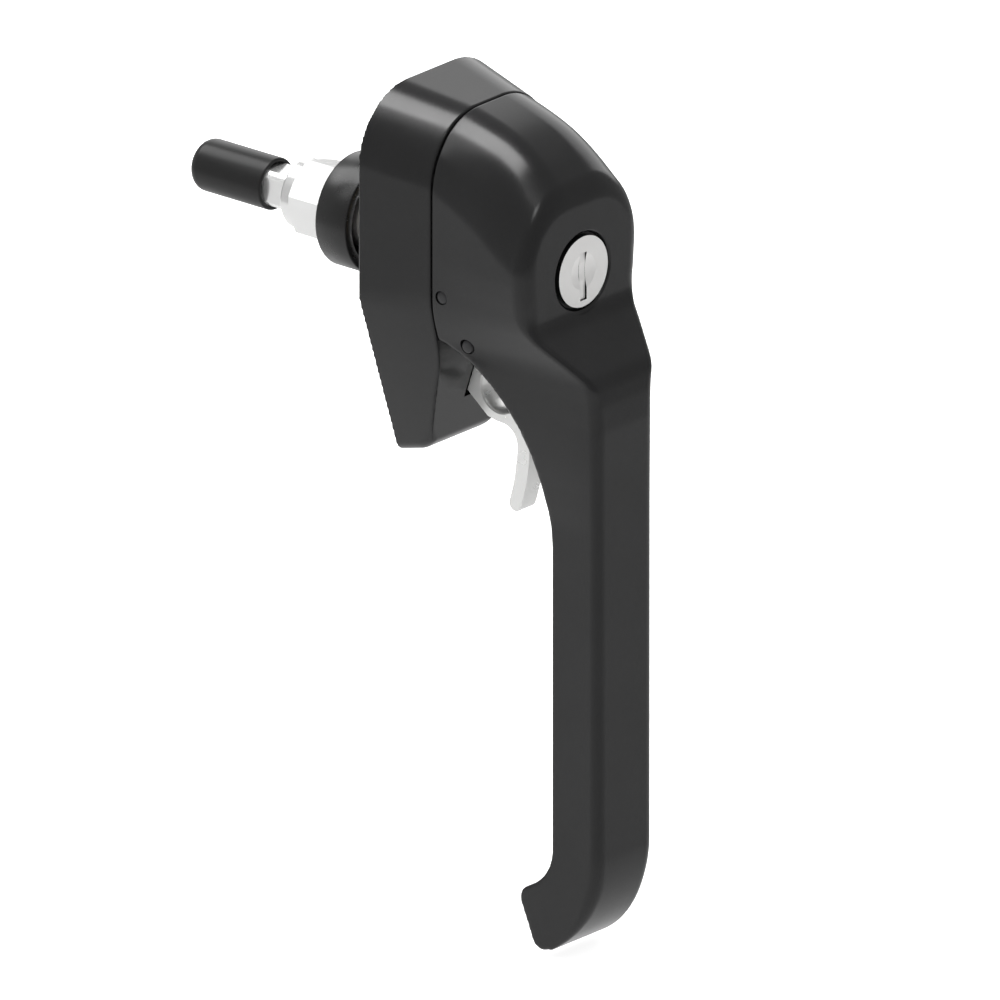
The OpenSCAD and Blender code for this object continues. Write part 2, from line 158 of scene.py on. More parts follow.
def rmax(a, b, r):
    """Both shapes at once, with the edge between them rounded."""
    u, v = np.maximum(a + r, 0), np.maximum(b + r, 0)
    return np.minimum(np.maximum(a, b), -r) + np.sqrt(u * u + v * v)


def rmin(a, b, r):
    return -rmax(-a, -b, r)


def arch(x, z, hw, top, a, b):
    """A flat top, straight sides and a quarter ellipse, a wide and b high, at each upper corner."""
    x = np.abs(x)
    u, w = (x - (hw - a)) / a, (z - (top - b)) / b
    k = np.hypot(u, w)
    round_ = (k - 1) * k / np.maximum(np.hypot(u / a, w / b), 1e-6)
    return np.where((u > 0) & (w > 0), round_, np.maximum(x - hw, z - top))


# ------------------------------------------------------------------ the handle's outer form
HEAD_F, PAD_F = 17.3, 43.5
top_of = curve([(0, 37.8), (17.3, 34.15), (20.5, 33.35), (23.7, 32.45), (27, 31.4), (30.1, 30.2), (33.4, 28.4), (36.6, 26.2), (40.9, 22.3), (43.5, 20.0), (60, 4)], 1.6, 12, 50)
wide_of = curve([(0, 15.3), (25, 15.3), (43.5, 15.0), (60, 15)], 2.0, 12, 50)
start_of = curve([(0, 19.5), (17.3, 17.7), (19.6, 17.0), (25, 14.3), (30.3, 11.0), (35.6, 6.8), (40.7, 3.6), (43.5, 2.6), (60, 1)], 1.6, 12, 50)
rear_w = curve([(90, 19.5), (-7.4, 19.5), (-10, 19.15), (-12.2, 18.6), (-14.3, 17.9), (-16.9, 17.1), (-20.2, 16.2), (-27, 14.3), (-34.9, 12.4), (-45, 10.4), (-53.6, 9.4), (-60, 9.38), (-220, 9.38)], 1.3, -170, 60)
front_w = curve([(90, 19.5), (2, 19.4), (-2, 19.1), (-6.5, 18.3), (-9, 17.4), (-11.5, 15.9), (-13.5, 14.6), (-15.5, 13.2), (-19.5, 10.6), (-24, 9.8), (-30, 9.42), (-220, 9.38)], 0.9, -170, 60)
rear_line = [(8, -16.6), (17.3, -16.7), (18.6, -17.0), (20.5, -17.9), (22.3, -18.6), (24.5, -19.6), (26.6, -21.0), (29.7, -23.9), (32.3, -27.1), (34.7, -30.8), (36.7, -34.85), (38.6, -39.8), (40.0, -45), (41.1, -49.5), (42.0, -53.6), (42.6, -59.5), (42.6, -129)]
front_line = (
    [(43.5, 70), (43.5, -6.9)]
    + arc(43.5 + 5, -6.9, 5, 180, 228, 10)[1:]
    + arc(55.2 - 5, -21.9, 5, 48, 2, 10)
    + [(55.45, -25), (55.65, -31), (55.6, -42), (55.6, -129)]
)
rear_f = curve([(90, 17.3), (-16.9, 17.3)] + [(z - 0.01 * i, f) for i, (f, z) in enumerate(rear_line[2:])] + [(-220, 42.6)], 0.8, -170, 60)
front_f = curve([(z - 0.001 * i, f) for i, (f, z) in enumerate(front_line)] + [(-220, 55.6)], 0.8, -170, 60)
front_r = curve([(90, 2.4), (16, 2.6), (8, 3.4), (2, 4.2), (-5.5, 4.0), (-9.5, 1.8), (-17, 1.5), (-25, 2.4), (-129, 2.55), (-138, 3.4), (-220, 3.4)], 1.2, -170, 60)
rear_r = curve([(90, 1.5), (-16.9, 1.5), (-18, 1.4), (-22, 0.8), (-27, 0.5), (-220, 0.5)], 0.6, -170, 60)
side_line = (
    list(map(tuple, smooth_line(front_line, 0.5)))
    + arc(55.6 - 27.3, -129, 27.3, 0, -59.4, 60)[1:]
    + arc(39.74, -149.93, 3, 300, 210, 14)
    + arc(36.55, -142.18, 3, 210, 120, 10)
    + arc(42.6 - 10.8, -129, 10.8, -60, 0, 30)
    + list(map(tuple, smooth_line(rear_line[::-1], 0.9)))
    + [(8, 70)]
)
handle_side = Outline(side_line, 5.0137, 64, -160.0171, 60, 0.25)


def head_loft(x, f, z):
    t = np.clip((f - rear_f(z)) / (front_f(z) - rear_f(z)), -0.05, 1.1)
    w = rear_w(z) + (front_w(z) - rear_w(z)) * t
    top = top_of(f)
    return arch(x, z, w, top, wide_of(f), top - start_of(f)), t


def handle_outer(x, f, z):
    a, t = head_loft(x, f, z)
    g = (head_loft(x, f + 0.1, z)[0] - head_loft(x, f - 0.1, z)[0]) / 0.2
    a = a / np.sqrt(1 + g * g)
    t = np.clip(t, 0, 1)
    r = rear_r(z) * (1 - t) + front_r(z) * t
    return rmax(rmax(a, handle_side(f, z), r), HEAD_F - f, 0.4)


# ------------------------------------------------------------------ the base's outer form
base_w0 = curve([(90, 23.55), (-8.8, 23.55), (-47.3, 10.55), (-70, 2.8)], 1.0, -60, 50)
base_w1 = curve([(90, 19.7), (-7.5, 19.7), (-16.5, 17.6), (-21.5, 16.4), (-32.4, 13.5), (-42.1, 10.75), (-47, 9.3), (-70, 2)], 1.4, -60, 50)
low_r = curve([(90, 0.4), (-39, 0.4), (-44.5, 3.0), (-70, 3.0)], 0.8, -60, 50)
SL = math.tan(math.radians(18.3))


def base_loft(x, f, z):
    q = f / 17
    return arch(x, z, base_w0(z) + (base_w1(z) - base_w0(z)) * q, 37.2 - 3.0 * q, 16.1 - 1.1 * q, 16.1 - 0.5 * q)


def base_outer(x, f, z):
    a = base_loft(x, f, z)
    g = (base_loft(x, f + 0.1, z) - base_loft(x, f - 0.1, z)) / 0.2
    a = a / np.sqrt(1 + g * g)
    front = rmax(f - 17, (f - 17 + SL * (-z - 21.5)) / math.hypot(1, SL), 1.2)
    low = (-z - 47.6 + 0.257 * f) / math.hypot(1, 0.257)
    return rmax(rmax(rmax(a, low, 2.0), front, low_r(z)), -f, 0.15)


# ------------------------------------------------------------------ the lever's form
PIV_F, PIV_Z, RING_F, RING_Z, RING_R = 24.8, -16.0, 21.9, -30.7, 5.2


def slope_f(z):
    return 17 - SL * (-z - 21.5)


lever_poly = [(20.9, -14.8), (20.8, -17.5), (18.6, -22.6), (17.7, -25.8), (slope_f(-26.2) - 0.4, -26.2), (slope_f(-32.7) - 0.4, -32.7), (18.7, -37.35), (21.5, -37.9), (23.4, -38), (24.7, -38.4), (26.1, -39.5), (26.9, -41), (27.1, -42.7), (26.8, -45.3), (26.2, -50.2), (25, -54.5), (24.7, -55.8), (25, -56.7), (25.95, -57.35), (27, -57.3), (27.8, -56.8), (29.2, -52), (30, -48), (30.5, -43.6), (30.6, -38), (30.4, -28), (29.8, -21.5), (28.7, -15.2)]


# ------------------------------------------------------------------ surface of a form
def gradient(fn, p, h):
    g = np.empty_like(p)
    for i in range(3):
        e = np.zeros(3)
        e[i] = h
        a, b = p + e, p - e
        g[:, i] = (fn(a[:, 0], a[:, 1], a[:, 2]) - fn(b[:, 0], b[:, 1], b[:, 2])) / (2 * h)
    return g


def surface(fn, gx, gf, gz, relax=2):
    """Vertices (mm) and quads of the zero surface of fn on a grid with uneven spacing."""
    X, F, Z = np.meshgrid(gx, gf, gz, indexing="ij")
    D = fn(X, F, Z)
    S = D < 0
    n = [s - 1 for s in S.shape]
    count = np.zeros(n, np.int8)
    for a in (0, 1):
        for b in (0, 1):
            for c in (0, 1):
                count += S[a : a + n[0], b : b + n[1], c : c + n[2]]
    live = (count > 0) & (count < 8)
    index = np.full(n, -1, np.int64)
    index[live] = np.arange(int(live.sum()))
    acc, num = np.zeros(n + [3]), np.zeros(n)
    G = (X, F, Z)
    quads = []
    for axis in range(3):
        lo = [slice(None)] * 3
        hi = [slice(None)] * 3
        lo[axis], hi[axis] = slice(0, -1), slice(1, None)
        lo, hi = tuple(lo), tuple(hi)
        cut = S[lo] != S[hi]
        d0, d1 = D[lo], D[hi]
        t = np.where(cut, d0 / np.where(cut, d0 - d1, 1), 0)
        b, c = [(1, 2), (2, 0), (0, 1)][axis]
        points = [np.where(cut, g[lo] + t * (g[hi] - g[lo]), 0) for g in G]
        for db in (0, 1):
            for dc in (0, 1):
                src, dst = [slice(None)] * 3, [slice(None)] * 3
                src[b] = slice(1, None) if db else slice(0, -1)
                src[c] = slice(1, None) if dc else slice(0, -1)
                src = tuple(src)
                num += cut[src]
                for i in range(3):
                    acc[..., i] += points[i][src]
        core = [slice(None)] * 3
        core[b], core[c] = slice(1, -1), slice(1, -1)
        w = np.argwhere(cut[tuple(core)])
        w[:, b] += 1
        w[:, c] += 1
        first = S[tuple(w.T)]
        cells = []
        for db, dc in ((-1, -1), (0, -1), (0, 0), (-1, 0)):
            q = w.copy()
            q[:, b] += db
            q[:, c] += dc
            cells.append(index[tuple(q.T)])
        q = np.stack(cells, 1)
        q[~first] = q[~first][:, ::-1]
        quads.append(q)
    p = acc[live] / num[live][:, None]
    quads = np.concatenate(quads)
    size = [np.diff(g) for g in (gx, gf, gz)]
    where = np.argwhere(live)
    cell = np.stack([size[i][where[:, i]] for i in range(3)], 1)
    home = p.copy()

    def settle(p, times):
        for _ in range(times):
            d = fn(p[:, 0], p[:, 1], p[:, 2])
            g = gradient(fn, p, 0.04)
            g2 = np.maximum((g * g).sum(1), 0.05)
            move = np.clip(-(d / g2)[:, None] * g, -0.6 * cell, 0.6 * cell)
            p = p + move
        return p

    p = settle(p, 2)
    e = np.concatenate([quads[:, [0, 1]], quads[:, [1, 2]], quads[:, [2, 3]], quads[:, [3, 0]]])
    for _ in range(relax):
        total, deg = np.zeros_like(p), np.zeros(len(p))
        np.add.at(total, e[:, 0], p[e[:, 1]])
        np.add.at(deg, e[:, 0], 1)
        mean = total / np.maximum(deg, 1)[:, None]
        p = np.clip(p + 0.5 * (mean - p), home - 0.7 * cell, home + 0.7 * cell)
        p = settle(p, 1)
    return settle(p, 1), quads


def to_m(p):
    return np.stack([p[:, 0], -p[:, 1], p[:, 2]], 1) * 0.001


def from_m(v):
    v = v * 1000
    return np.stack([v[:, 0], -v[:, 1], v[:, 2]], 1)


def make_object(name, verts_m, faces):
    me = bpy.data.meshes.new(name)
    me.from_pydata(verts_m.tolist() if hasattr(verts_m, "tolist") else verts_m, [], [list(map(int, f)) for f in faces])
    me.update()
    o = bpy.data.objects.new(name, me)
    scene.collection.objects.link(o)
    return o


def form_object(name, fn, gx, gf, gz, relax=2):
    p, quads = surface(fn, np.array(gx), np.array(gf), np.array(gz), relax)
    return make_object(name, to_m(p), quads[:, ::-1])


def grid(*parts):
    """Grid lines: (start, stop, spacing), one after the other."""
    out = []
    for a, b, s in parts:
        n = max(1, round((b - a) / s))
        out += list(np.linspace(a, b, n + 1))[:-1]
    out.append(parts[-1][1])
    return np.array(out)


def both(g):
    return np.concatenate([-g[::-1], g[1:]]) if g[0] == 0 else np.concatenate([-g[::-1], g])


# ------------------------------------------------------------------ tool bodies for openings
def bm_object(name, bm):
    bmesh.ops.recalc_face_normals(bm, faces=bm.faces)
    me = bpy.data.meshes.new(name)
    bm.to_mesh(me)
    bm.free()
    o = bpy.data.objects.new(name, me)
    scene.collection.objects.link(o)
    return o


def P(x, f, z):
    return Vector((x * 0.001, -f * 0.001, z * 0.001))


def loft(name, rings):
    """A closed solid through rings of (x, f, z) points, all with the same count."""
    bm = bmesh.new()
    rows = [[bm.verts.new(P(*q)) for q in r] for r in rings]
    n = len(rows[0])
    for a, b in zip(rows, rows[1:]):
        for i in range(n):
            bm.faces.new((a[i], a[(i + 1) % n], b[(i + 1) % n], b[i]))
    bm.faces.new(rows[0])
    bm.faces.new(rows[-1])
    return bm_object(name, bm)


def lathe(name, profile, x=0.0, z=0.0, n=96):
    """A solid of revolution about the spindle's direction, from (f, r) points; the ends close on the axis."""
    rings = []
    for f, r in profile:
        rings.append([(x + r * math.cos(2 * math.pi * i / n), f, z + r * math.sin(2 * math.pi * i / n)) for i in range(n)])
    return loft(name, rings)


def ring_solid(name, profile, x=0.0, z=0.0, n=96, axis="f"):
    """A closed ring: a closed profile of (f, r) points turned about the spindle's direction. The axis argument is not
    used.
    """
    bm = bmesh.new()
    k = len(profile)
    rows = []
    for i in range(n):
        a = 2 * math.pi * i / n
        c, s = math.cos(a), math.sin(a)
        rows.append([bm.verts.new(P(x + r * c, f, z + r * s)) for f, r in profile])
    for i in range(n):
        a, b = rows[i], rows[(i + 1) % n]
        for j in range(k):
            bm.faces.new((a[j], a[(j + 1) % k], b[(j + 1) % k], b[j]))
    return bm_object(name, bm)


def cross_bar(name, profile, f, z, n=64):
    """A solid of revolution along X, from (x, r) points."""
    rings = [[(x, f + r * math.cos(2 * math.pi * i / n), z + r * math.sin(2 * math.pi * i / n)) for i in range(n)] for x, r in profile]
    return loft(name, rings)


def block(name, x0, x1, f0, f1, z0, z1):
    return loft(name, [[(x0, f, z0), (x1, f, z0), (x1, f, z1), (x0, f, z1)] for f in (f0, f1)])


def prism_x(name, outline, hw):
    return loft(name, [[(x, f, z) for f, z in outline] for x in (-hw, hw)])


def shield(hw, top, r, zk, hw_low, zlow, rc=1.5, n=14):
    return (
        arc(hw - r, top - r, r, 0, 90, n)
        + arc(-(hw - r), top - r, r, 90, 180, n)
        + [(-hw, zk)]
        + arc(-(hw_low - rc), zlow + rc, rc, 190, 270, 4)
        + arc(hw_low - rc, zlow + rc, rc, 270, 350, 4)
        + [(hw, zk)]
    )


def shield_loft(name, levels):
    return loft(name, [[(x, f, z) for x, z in pts] for f, pts in levels])


def turned_track(name, profile, a0, a1, n=24):
    """A closed (r, f) profile swept round the spindle axis from angle a0 to a1, in degrees from +X toward +Z."""
    rings = []
    for i in range(n + 1):
        a = math.radians(a0 + (a1 - a0) * i / n)
        rings.append([(r * math.cos(a), f, r * math.sin(a)) for r, f in profile])
    return loft(name, rings)


SOLVERS = [e.identifier for e in bpy.types.BooleanModifier.bl_rna.properties["solver"].enum_items]
SOLVER = "MANIFOLD" if "MANIFOLD" in SOLVERS else "EXACT"


def boolean(a, b, op="DIFFERENCE", solver=None):
    mod = a.modifiers.new("cut", "BOOLEAN")
    mod.object, mod.operation, mod.solver = b, op, solver or SOLVER
    bpy.context.view_layer.update()
    me = bpy.data.meshes.new_from_object(a.evaluated_get(bpy.context.evaluated_depsgraph_get()))
    if len(me.polygons) == 0 and (solver or SOLVER) != "EXACT":
        a.modifiers.clear()
        return boolean(a, b, op, "EXACT")
    a.modifiers.clear()
    old, a.data = a.data, me
    bpy.data.meshes.remove(old)
    old = b.data
    bpy.data.objects.remove(b)
    bpy.data.meshes.remove(old)
    return a


def united(pieces):
    a = pieces[0]
    for b in pieces[1:]:
        boolean(a, b, "UNION")
    return a


def set_normals(o, fn, tol=0.03, sharp_deg=32):
    """Exact normals on the faces that lie on the form, and the usual ones on the cut faces."""
    me = o.data
    nv, nl, npoly = len(me.vertices), len(me.loops), len(me.polygons)
    co = np.empty(nv * 3)
    me.vertices.foreach_get("co", co)
    p = from_m(co.reshape(-1, 3))
    cen = np.empty(npoly * 3)
    me.polygons.foreach_get("center", cen)
    c = from_m(cen.reshape(-1, 3))
    nor = np.empty(npoly * 3)
    me.polygons.foreach_get("normal", nor)
    nor = nor.reshape(-1, 3)
    on = np.abs(fn(c[:, 0], c[:, 1], c[:, 2])) < tol
    gc = gradient(fn, c, 0.05)
    gc[:, 1] *= -1
    gc /= np.maximum(np.linalg.norm(gc, axis=1), 1e-9)[:, None]
    on &= (gc * nor).sum(1) > 0.8
    g = gradient(fn, p, 0.12)
    g[:, 1] *= -1
    g /= np.maximum(np.linalg.norm(g, axis=1), 1e-9)[:, None]
    lv, le = np.empty(nl, np.int64), np.empty(nl, np.int64)
    me.loops.foreach_get("vertex_index", lv)
    me.loops.foreach_get("edge_index", le)
    start, total = np.empty(npoly, np.int64), np.empty(npoly, np.int64)
    me.polygons.foreach_get("loop_start", start)
    me.polygons.foreach_get("loop_total", total)
    lp = np.repeat(np.arange(npoly), total)
    ne = len(me.edges)
    first = np.full(ne, -1)
    second = np.full(ne, -1)
    first[le[::-1]] = lp[::-1]
    second[le] = lp
    ok = (first >= 0) & (second >= 0)
    dot = np.ones(ne)
    dot[ok] = (nor[first[ok]] * nor[second[ok]]).sum(1)
    sharp = (on[first] != on[second]) | ((dot < math.cos(math.radians(sharp_deg))) & ~(on[first] & on[second]))
    att = me.attributes.get("sharp_edge") or me.attributes.new("sharp_edge", "BOOLEAN", "EDGE")
    att.data.foreach_set("value", sharp)
    me.polygons.foreach_set("use_smooth", np.ones(npoly, bool))
    ln = np.where(on[lp][:, None], g[lv], 0.0)
    me.update()
    me.normals_split_custom_set(ln.tolist())
    return o


# ------------------------------------------------------------------ materials
def material(name):
    mat = bpy.data.materials.new(name)
    mat.use_nodes = True
    nt = mat.node_tree
    b = next(n for n in nt.nodes if n.type == "BSDF_PRINCIPLED")
    return mat, nt, b


def noise(nt, scale, detail=3.0, rough=0.5, stretch=None):
    tc = nt.nodes.new("ShaderNodeTexCoord")
    src = tc.outputs["Object"]
    if stretch:
        mp = nt.nodes.new("ShaderNodeMapping")
        mp.inputs["Scale"].default_value = stretch
        nt.links.new(src, mp.inputs["Vector"])
        src = mp.outputs["Vector"]
    n = nt.nodes.new("ShaderNodeTexNoise")
    n.inputs["Scale"].default_value = scale
    n.inputs["Detail"].default_value = detail
    n.inputs["Roughness"].default_value = rough
    nt.links.new(src, n.inputs["Vector"])
    return n.outputs["Fac"]


def ramp(nt, src, lo, hi, p0=0.3, p1=0.7):
    r = nt.nodes.new("ShaderNodeMapRange")
    r.inputs["From Min"].default_value, r.inputs["From Max"].default_value = p0, p1
    r.inputs["To Min"].default_value, r.inputs["To Max"].default_value = lo, hi
    nt.links.new(src, r.inputs["Value"])
    return r.outputs["Result"]


def colours(nt, src, c0, c1, p0=0.3, p1=0.7):
    r = nt.nodes.new("ShaderNodeValToRGB")
    r.color_ramp.elements[0].position, r.color_ramp.elements[1].position = p0, p1
    r.color_ramp.elements[0].color, r.color_ramp.elements[1].color = (*c0, 1), (*c1, 1)
    nt.links.new(src, r.inputs["Fac"])
    return r.outputs["Color"]


def bump(nt, b, src, strength, distance):
    n = nt.nodes.new("ShaderNodeBump")
    n.inputs["Strength"].default_value = strength
    n.inputs["Distance"].default_value = distance
    nt.links.new(src, n.inputs["Height"])
    nt.links.new(n.outputs["Normal"], b.inputs["Normal"])


def finish_of(name, c0, c1, r0, r1, metallic=0.0, specular=0.5, mottle=140, fine=2600, bump_by=0.05, depth=0.00002, coat=0.0, coat_rough=0.1, stretch=None):
    """A surface with slow colour variation, finer changes of gloss and a fine relief."""
    mat, nt, b = material(name)
    slow = noise(nt, mottle, 4.0, 0.55, stretch)
    quick = noise(nt, fine, 3.0, 0.6, stretch)
    nt.links.new(colours(nt, slow, c0, c1), b.inputs["Base Color"])
    nt.links.new(ramp(nt, noise(nt, mottle * 3, 3.0, 0.5, stretch), r0, r1), b.inputs["Roughness"])
    b.inputs["Metallic"].default_value = metallic
    b.inputs["Specular IOR Level"].default_value = specular
    if coat:
        b.inputs["Coat Weight"].default_value = coat
        b.inputs["Coat Roughness"].default_value = coat_rough
    bump(nt, b, quick, bump_by, depth)
    return mat


MAT = {
    "black_casting": finish_of("satin_black_paint", (0.0082, 0.0082, 0.0084), (0.0098, 0.0098, 0.0101), 0.20, 0.23, specular=0.5, mottle=60, fine=420, bump_by=0.02, depth=0.00001),
    "bright_lever": finish_of("bright_plated_steel", (0.84, 0.84, 0.83), (0.87, 0.87, 0.86), 0.24, 0.28, metallic=0.6, mottle=90, fine=500, bump_by=0.02, depth=0.00001),
    "lock_face": finish_of("satin_chrome", (0.76, 0.755, 0.745), (0.80, 0.795, 0.785), 0.34, 0.40, metallic=0.5, mottle=120, fine=700, bump_by=0.02, depth=0.00001),
    "zinc_steel": finish_of("bright_zinc", (0.79, 0.79, 0.785), (0.83, 0.83, 0.825), 0.18, 0.23, metallic=0.75, mottle=110, fine=600, bump_by=0.02, depth=0.00001),
    "black_pin": finish_of("black_oxide", (0.02, 0.02, 0.021), (0.028, 0.028, 0.029), 0.3, 0.36, metallic=0.2, mottle=200, fine=900, bump_by=0.02, depth=0.00001),
    "gloss_cap": finish_of("gloss_black_vinyl", (0.012, 0.012, 0.012), (0.014, 0.014, 0.014), 0.30, 0.33, specular=0.28, mottle=100, fine=700, bump_by=0.02, depth=0.00001),
    "black_plastic": finish_of("black_nylon", (0.009, 0.009, 0.009), (0.012, 0.012, 0.012), 0.26, 0.31, mottle=120, fine=700, bump_by=0.03, depth=0.00001),
    "grey_sleeve": finish_of("grey_sinter", (0.30, 0.29, 0.28), (0.40, 0.39, 0.375), 0.4, 0.5, metallic=0.3, mottle=300, fine=1500, bump_by=0.06),
    "brass": finish_of("brass", (0.55, 0.40, 0.17), (0.66, 0.50, 0.23), 0.3, 0.42, metallic=0.95, mottle=200, fine=1200, bump_by=0.03),
    "spring_steel": finish_of("spring_wire", (0.38, 0.38, 0.39), (0.48, 0.48, 0.49), 0.28, 0.4, metallic=0.95, mottle=300, fine=1500, bump_by=0.03),
    "bearing_steel": finish_of("polished_ball", (0.65, 0.65, 0.66), (0.72, 0.72, 0.73), 0.08, 0.14, metallic=1.0, mottle=200, fine=1200, bump_by=0.02),
    # lock body: die-cast zinc coloured near black, painted shade for the ring gap round the lock face
    "dark_zinc": finish_of("die_cast_painted_gap_shade", (0.010, 0.010, 0.010), (0.016, 0.016, 0.016), 0.45, 0.55, metallic=0.1, mottle=200, fine=1200, bump_by=0.05),
    "cam_steel": finish_of("passivated_steel", (0.42, 0.42, 0.40), (0.52, 0.51, 0.49), 0.3, 0.42, metallic=0.9, mottle=250, fine=1300, bump_by=0.03),
    "nylon": finish_of("blue_nylon", (0.07, 0.16, 0.34), (0.10, 0.21, 0.42), 0.38, 0.5, mottle=200, fine=1200, bump_by=0.03),
}

# lock face: plated colour where it faces front; its side and the walls of its keyway, which turn away from the front,
# are painted near black as the bore's shade
face_mat = MAT["lock_face"]
fnt = face_mat.node_tree
shader = next(n for n in fnt.nodes if n.type == "BSDF_PRINCIPLED")
plate = shader.inputs["Base Color"].links[0].from_socket
geo = fnt.nodes.new("ShaderNodeNewGeometry")
part_of = fnt.nodes.new("ShaderNodeSeparateXYZ")
turned = fnt.nodes.new("ShaderNodeMath")
turned.operation = "ABSOLUTE"
edge = fnt.nodes.new("ShaderNodeMapRange")
edge.inputs["From Min"].default_value, edge.inputs["From Max"].default_value = 0.35, 0.75
painted_bore_shade = fnt.nodes.new("ShaderNodeMix")
painted_bore_shade.data_type = "RGBA"
fnt.links.new(geo.outputs["Normal"], part_of.inputs["Vector"])
fnt.links.new(part_of.outputs["Y"], turned.inputs[0])
fnt.links.new(turned.outputs["Value"], edge.inputs["Value"])
fnt.links.new(edge.outputs["Result"], painted_bore_shade.inputs[0])
# near black: painted shade in the bore and the keyway
next(k for k in painted_bore_shade.inputs if k.name == "A" and k.type == "RGBA").default_value = (0.012, 0.012, 0.012, 1)
fnt.links.new(plate, next(k for k in painted_bore_shade.inputs if k.name == "B" and k.type == "RGBA"))
fnt.links.new(next(k for k in painted_bore_shade.outputs if k.type == "RGBA"), shader.inputs["Base Color"])

NODE_SLOT = {
    "base_housing": "black_casting", "handle_casting": "black_casting", "spindle_bush": "brass", "bush_circlip": "spring_steel",
    "spindle": "zinc_steel", "spindle_pin": "black_pin", "detent_ball": "bearing_steel", "detent_spring": "spring_steel",
    "trigger_lever": "bright_lever", "trigger_pivot_pin": "black_pin", "trigger_spring": "spring_steel", "lock_body": "dark_zinc",
    "lock_clip": "spring_steel", "key_plug": "lock_face", "keyway_shutter": "lock_face", "lock_wafers": "brass",
    "wafer_springs": "spring_steel", "plug_cam": "cam_steel", "cam_screw": "cam_steel", "lock_bolt": "cam_steel",
    "door_collar": "black_plastic", "collar_sleeve": "grey_sleeve", "washer": "zinc_steel", "nyloc_nut": "zinc_steel",
    "nut_insert": "nylon", "end_cap": "gloss_cap",
}
BODY = {n: o["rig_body"] for n, o in frame["nodes"].items()}
for nd, ob in frame["nodes"].items():
    mat = MAT[NODE_SLOT[nd]]
    if ob.material_slots:
        for s in ob.material_slots:
            s.material = mat
    else:
        ob.data.materials.append(mat)


def place(o, node):
    """A finished piece stands for its CAD node, on the node's body and in its material."""
    o.data.materials.clear()
    o.data.materials.append(MAT[NODE_SLOT[node]])
    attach(o, BODY[node])
    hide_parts(node)
    return o


# ------------------------------------------------------------------ base
gx = both(grid((0, 8, 0.9), (8, 25, 0.6)))
gf = grid((-0.6, 0.8, 0.2), (0.8, 15.6, 0.8), (15.6, 17.8, 0.2))
gz = grid((-49, -38, 0.5), (-38, 4, 0.8), (4, 38.4, 0.6))
base = form_object("base_shell", base_outer, gx, gf, gz)
WALL = 2.8
hollow = united([
    shield_loft("t1", [(-1, shield(23.3 - WALL, 36.9 - WALL, 16.1 - WALL, -8.6, 15.5, -24)), (8.25, shield(23.3 - WALL - 1.8, 36.9 - WALL - 1.5, 16.1 - WALL, -8.6, 14, -24))]),
    shield_loft("t2", [(-1, shield(15.5, -22, 4, -24, 8.2, -47.1 + WALL)), (5.25, shield(14, -22, 4, -24, 7.6, -47.1 + WALL + 1.4))]),
])
for b in (
    lathe("b", [(-2, 10.5), (9, 10.5)]),
    lathe("b", [(-2, 5.2), (9, 5.2)], 0, 24),
    lathe("b", [(-2, 5.2), (9, 5.2)], 0, -36),
    block("b", -1, 1, 1.5, 9, -40, 40),
    block("b", -30, 30, 1.5, 9, -1, 1),
):
    boolean(hollow, b)
boolean(base, hollow)
for c in (
    lathe("c", [(-1, 9.2), (2.8, 9.2), (2.8001, 7), (11.2, 7), (11.5, 7.3), (11.5001, 12.5), (16.6, 12.5), (17.01, 12.9), (18.5, 12.9)], n=128),
    block("c", -3.4, 3.4, 11.5, 18, 0, 14.3),
    block("c", -14.3, 0, 11.5, 18, -3.4, 3.4),
    lathe("c", [(-1, 2.6), (0, 2.55), (0.45, 2.1), (6.3, 2.1), (7.5, 0.05)], 0, 24, 64),
    lathe("c", [(-1, 2.6), (0, 2.55), (0.45, 2.1), (6.3, 2.1), (7.5, 0.05)], 0, -36, 64),
    block("c", -3.6, 3.6, 9.6, 18, -34.1, -24.6),
    turned_track("c", [(24.6, 16.3), (25.6, slope_f(-25.6) - 0.75), (33.4, slope_f(-33.4) - 0.75), (34.6, slope_f(-33.4) - 0.75), (34.6, 18), (24.6, 18)], -85, -40),
    turned_track("c", arc(15.6, 17.9, 1.7, 0, 345, 23), -1, 91, 40),
    lathe("c", [(17.7 - 1.75 * math.cos(a), max(1.75 * math.sin(a), 0.02)) for a in np.linspace(0.02, math.pi - 0.02, 16)], 15.6, 0, 40),
    lathe("c", [(17.7 - 1.75 * math.cos(a), max(1.75 * math.sin(a), 0.02)) for a in np.linspace(0.02, math.pi - 0.02, 16)], 0, 15.6, 40),
):
    boolean(base, c)
set_normals(base, base_outer, 0.1)
place(base, "base_housing")

# ------------------------------------------------------------------ handle
gx = both(grid((0, 7, 0.8), (7, 21, 0.55)))
gf = grid((16.5, 18.5, 0.2), (18.5, 40, 0.75), (40, 58, 0.55))
gz = grid((-156, -127, 0.65), (-127, -60, 2.2), (-60, -30, 0.9), (-30, 36, 0.6))
handle = form_object("handle_shell", handle_outer, gx, gf, gz)
cav = shield_loft("t1", [(15.8, shield(16.9, 31, 11, -7.4, 15.2, -14.2, 2.2)), (17.3, shield(16.9, 31, 11, -7.4, 15.2, -14.2, 2.2)), (30.7, shield(14.8, 25.6, 11, -7.4, 13.2, -14.2, 2.2))])
slot_cut = prism_x("t2", [(15.3, -8), (30.7, -8), (31.6, -17), (34.2, -22.5), (37.3, -29), (38.6, -35), (39, -41.5), (30, -41.5), (15.3, -20)], 3.3)
cav = united([cav, slot_cut])
for b in (
    block("b", -30, 30, 17.3, 23.5, -8, 7.4),
    cross_bar("b", [(-20, 3.4), (-2.75, 3.4)], PIV_F, PIV_Z),
    cross_bar("b", [(6.1, 3.4), (20, 3.4)], PIV_F, PIV_Z),
    lathe("b", [(17.3, 2.9), (26, 2.9)], 15.2, 0, 48),
    lathe("b", [(23.4, 1.2), (26.1, 1.2)], -9.5, 1.2, 32),
):
    boolean(cav, b)
boolean(handle, cav)
